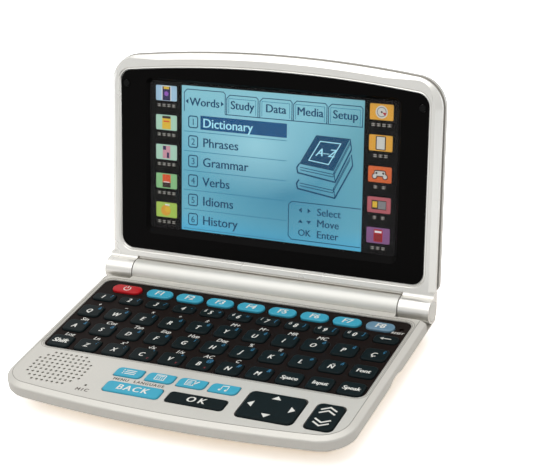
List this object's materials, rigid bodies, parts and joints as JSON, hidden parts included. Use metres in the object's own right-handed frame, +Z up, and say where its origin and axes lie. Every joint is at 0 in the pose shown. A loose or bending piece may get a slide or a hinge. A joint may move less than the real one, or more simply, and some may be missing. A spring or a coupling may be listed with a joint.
{
  "type": "electronic dictionary",
  "caption": "Folding pocket electronic dictionary with a letter keyboard, coloured function keys, a navigation pad and a leaning screen lid.",
  "frame": {"origin": "on the table, under the middle of the open dictionary's bounding box", "axes": "+X to the user's right, +Y away from the user, +Z up"},
  "size_m": [0.1268, 0.1119, 0.0902],
  "materials": {
    "silver_case": "satin silver lacquer",
    "silver_lid": "satin silver lacquer",
    "pearl_frame": "pearl lacquer",
    "satin_barrel": "satin silver lacquer",
    "black_bezel": "satin black",
    "black_rubber": "matte",
    "panel_plastic": "matte black",
    "key_plastic": "fine matte",
    "red_key": "gloss",
    "blue_key": "gloss",
    "inner_plastic": "natural",
    "mat_rubber": "matte",
    "circuit_board": "solder mask",
    "chip_plastic": "matte",
    "battery_wrap": "shrink film",
    "contact_brass": "bright",
    "plated_steel": "plated",
    "speaker_steel": "blackened",
    "clear_lens": "clear",
    "printed_card": "printed film",
    "display_glass": "polarised",
    "flex_film": "polyimide"
  },
  "bodies": {
    "base": {"base_lower_case": "silver_case", "base_upper_case": "silver_case", "hinge_barrel": "satin_barrel", "hinge_cartridge": "plated_steel", "hinge_bushing": "inner_plastic", "keypad_panel": "panel_plastic", "keypad_mat": "mat_rubber", "main_board": "circuit_board", "board_chips": "chip_plastic", "speaker": "speaker_steel", "microphone": "speaker_steel", "reset_switch": "chip_plastic", "battery_pack": "battery_wrap", "battery_contacts": "contact_brass", "case_screws": "plated_steel", "rubber_feet": "black_rubber", "usb_socket": "plated_steel", "earphone_jack": "chip_plastic"},
    "lid": {"lid_rear_cover": "silver_lid", "lid_front_frame": "pearl_frame", "bezel": "black_bezel", "window_lens": "clear_lens", "icon_card": "printed_card", "lcd_panel": "display_glass", "backlight": "inner_plastic", "display_flex": "flex_film", "lid_plugs": "black_rubber", "lid_screws": "plated_steel", "hinge_caps": "satin_barrel", "hinge_shaft": "plated_steel", "hinge_sleeve": "plated_steel"},
    "digit_keys": {"digit_keys": "key_plastic"},
    "backspace_key": {"backspace_key": "key_plastic"},
    "letter_keys_upper": {"letter_keys_upper": "key_plastic"},
    "letter_keys_middle": {"letter_keys_middle": "key_plastic"},
    "letter_keys_lower": {"letter_keys_lower": "key_plastic"},
    "shift_key": {"shift_key": "key_plastic"},
    "space_key": {"space_key": "key_plastic"},
    "power_key": {"power_key": "red_key"},
    "function_key_1": {"function_key_1": "blue_key"},
    "function_key_2": {"function_key_2": "blue_key"},
    "function_key_3": {"function_key_3": "blue_key"},
    "function_key_4": {"function_key_4": "blue_key"},
    "function_key_5": {"function_key_5": "blue_key"},
    "function_key_6": {"function_key_6": "blue_key"},
    "function_key_7": {"function_key_7": "blue_key"},
    "function_key_8": {"function_key_8": "blue_key"},
    "shortcut_key_1": {"shortcut_key_1": "blue_key"},
    "shortcut_key_2": {"shortcut_key_2": "blue_key"},
    "shortcut_key_3": {"shortcut_key_3": "blue_key"},
    "shortcut_key_4": {"shortcut_key_4": "blue_key"},
    "back_key": {"back_key": "blue_key"},
    "confirm_key": {"confirm_key": "key_plastic"},
    "nav_plate": {"nav_plate": "inner_plastic"},
    "nav_pad": {"nav_pad": "key_plastic"},
    "page_rocker": {"page_rocker": "key_plastic"},
    "battery_cover": {"battery_cover": "silver_case"},
    "reset_plunger": {"reset_plunger": "inner_plastic"}
  },
  "joints": [
    {"name": "lid_hinge", "type": "hinge", "parent": "base", "child": "lid", "pos_m": [0, 0.02605, 0.012], "axis": [1, 0, 0], "range_deg": [-34.2, 105.8]},
    {"name": "digit_keys_press", "type": "slide", "parent": "base", "child": "digit_keys", "axis": [0, 0, -1], "range_m": [0, 0.0007], "stiffness_N_per_m": 800},
    {"name": "backspace_key_press", "type": "slide", "parent": "base", "child": "backspace_key", "axis": [0, 0, -1], "range_m": [0, 0.0007], "stiffness_N_per_m": 800},
    {"name": "letter_keys_upper_press", "type": "slide", "parent": "base", "child": "letter_keys_upper", "axis": [0, 0, -1], "range_m": [0, 0.0007], "stiffness_N_per_m": 800},
    {"name": "letter_keys_middle_press", "type": "slide", "parent": "base", "child": "letter_keys_middle", "axis": [0, 0, -1], "range_m": [0, 0.0007], "stiffness_N_per_m": 800},
    {"name": "letter_keys_lower_press", "type": "slide", "parent": "base", "child": "letter_keys_lower", "axis": [0, 0, -1], "range_m": [0, 0.0007], "stiffness_N_per_m": 800},
    {"name": "shift_key_press", "type": "slide", "parent": "base", "child": "shift_key", "axis": [0, 0, -1], "range_m": [0, 0.0007], "stiffness_N_per_m": 800},
    {"name": "space_key_press", "type": "slide", "parent": "base", "child": "space_key", "axis": [0, 0, -1], "range_m": [0, 0.0007], "stiffness_N_per_m": 800},
    {"name": "power_key_press", "type": "slide", "parent": "base", "child": "power_key", "axis": [0, 0, -1], "range_m": [0, 0.0007], "stiffness_N_per_m": 800},
    {"name": "function_key_1_press", "type": "slide", "parent": "base", "child": "function_key_1", "axis": [0, 0, -1], "range_m": [0, 0.0007], "stiffness_N_per_m": 800},
    {"name": "function_key_2_press", "type": "slide", "parent": "base", "child": "function_key_2", "axis": [0, 0, -1], "range_m": [0, 0.0007], "stiffness_N_per_m": 800},
    {"name": "function_key_3_press", "type": "slide", "parent": "base", "child": "function_key_3", "axis": [0, 0, -1], "range_m": [0, 0.0007], "stiffness_N_per_m": 800},
    {"name": "function_key_4_press", "type": "slide", "parent": "base", "child": "function_key_4", "axis": [0, 0, -1], "range_m": [0, 0.0007], "stiffness_N_per_m": 800},
    {"name": "function_key_5_press", "type": "slide", "parent": "base", "child": "function_key_5", "axis": [0, 0, -1], "range_m": [0, 0.0007], "stiffness_N_per_m": 800},
    {"name": "function_key_6_press", "type": "slide", "parent": "base", "child": "function_key_6", "axis": [0, 0, -1], "range_m": [0, 0.0007], "stiffness_N_per_m": 800},
    {"name": "function_key_7_press", "type": "slide", "parent": "base", "child": "function_key_7", "axis": [0, 0, -1], "range_m": [0, 0.0007], "stiffness_N_per_m": 800},
    {"name": "function_key_8_press", "type": "slide", "parent": "base", "child": "function_key_8", "axis": [0, 0, -1], "range_m": [0, 0.0007], "stiffness_N_per_m": 800},
    {"name": "shortcut_key_1_press", "type": "slide", "parent": "base", "child": "shortcut_key_1", "axis": [0, 0, -1], "range_m": [0, 0.0007], "stiffness_N_per_m": 800},
    {"name": "shortcut_key_2_press", "type": "slide", "parent": "base", "child": "shortcut_key_2", "axis": [0, 0, -1], "range_m": [0, 0.0007], "stiffness_N_per_m": 800},
    {"name": "shortcut_key_3_press", "type": "slide", "parent": "base", "child": "shortcut_key_3", "axis": [0, 0, -1], "range_m": [0, 0.0007], "stiffness_N_per_m": 800},
    {"name": "shortcut_key_4_press", "type": "slide", "parent": "base", "child": "shortcut_key_4", "axis": [0, 0, -1], "range_m": [0, 0.0007], "stiffness_N_per_m": 800},
    {"name": "back_key_press", "type": "slide", "parent": "base", "child": "back_key", "axis": [0, 0, -1], "range_m": [0, 0.0007], "stiffness_N_per_m": 800},
    {"name": "confirm_key_press", "type": "slide", "parent": "base", "child": "confirm_key", "axis": [0, 0, -1], "range_m": [0, 0.0007], "stiffness_N_per_m": 800},
    {"name": "nav_up_down", "type": "hinge", "parent": "base", "child": "nav_plate", "pos_m": [0.0338, -0.04155, 0.0089], "axis": [1, 0, 0], "range_deg": [-2, 2], "stiffness_Nm_per_rad": 0.08},
    {"name": "nav_left_right", "type": "hinge", "parent": "nav_plate", "child": "nav_pad", "pos_m": [0.0338, -0.04155, 0.0104], "axis": [0, 1, 0], "range_deg": [-2, 2], "stiffness_Nm_per_rad": 0.08},
    {"name": "page_rocker_tilt", "type": "hinge", "parent": "base", "child": "page_rocker", "pos_m": [0.0522, -0.04175, 0.0098], "axis": [1, 0, 0], "range_deg": [-2.5, 2.5], "stiffness_Nm_per_rad": 0.08},
    {"name": "battery_cover_slide", "type": "slide", "parent": "base", "child": "battery_cover", "axis": [0, 1, 0], "range_m": [0, 0.008]},
    {"name": "reset_press", "type": "slide", "parent": "base", "child": "reset_plunger", "axis": [0, 0, -1], "range_m": [0, 0.0003], "stiffness_N_per_m": 500}
  ]
}
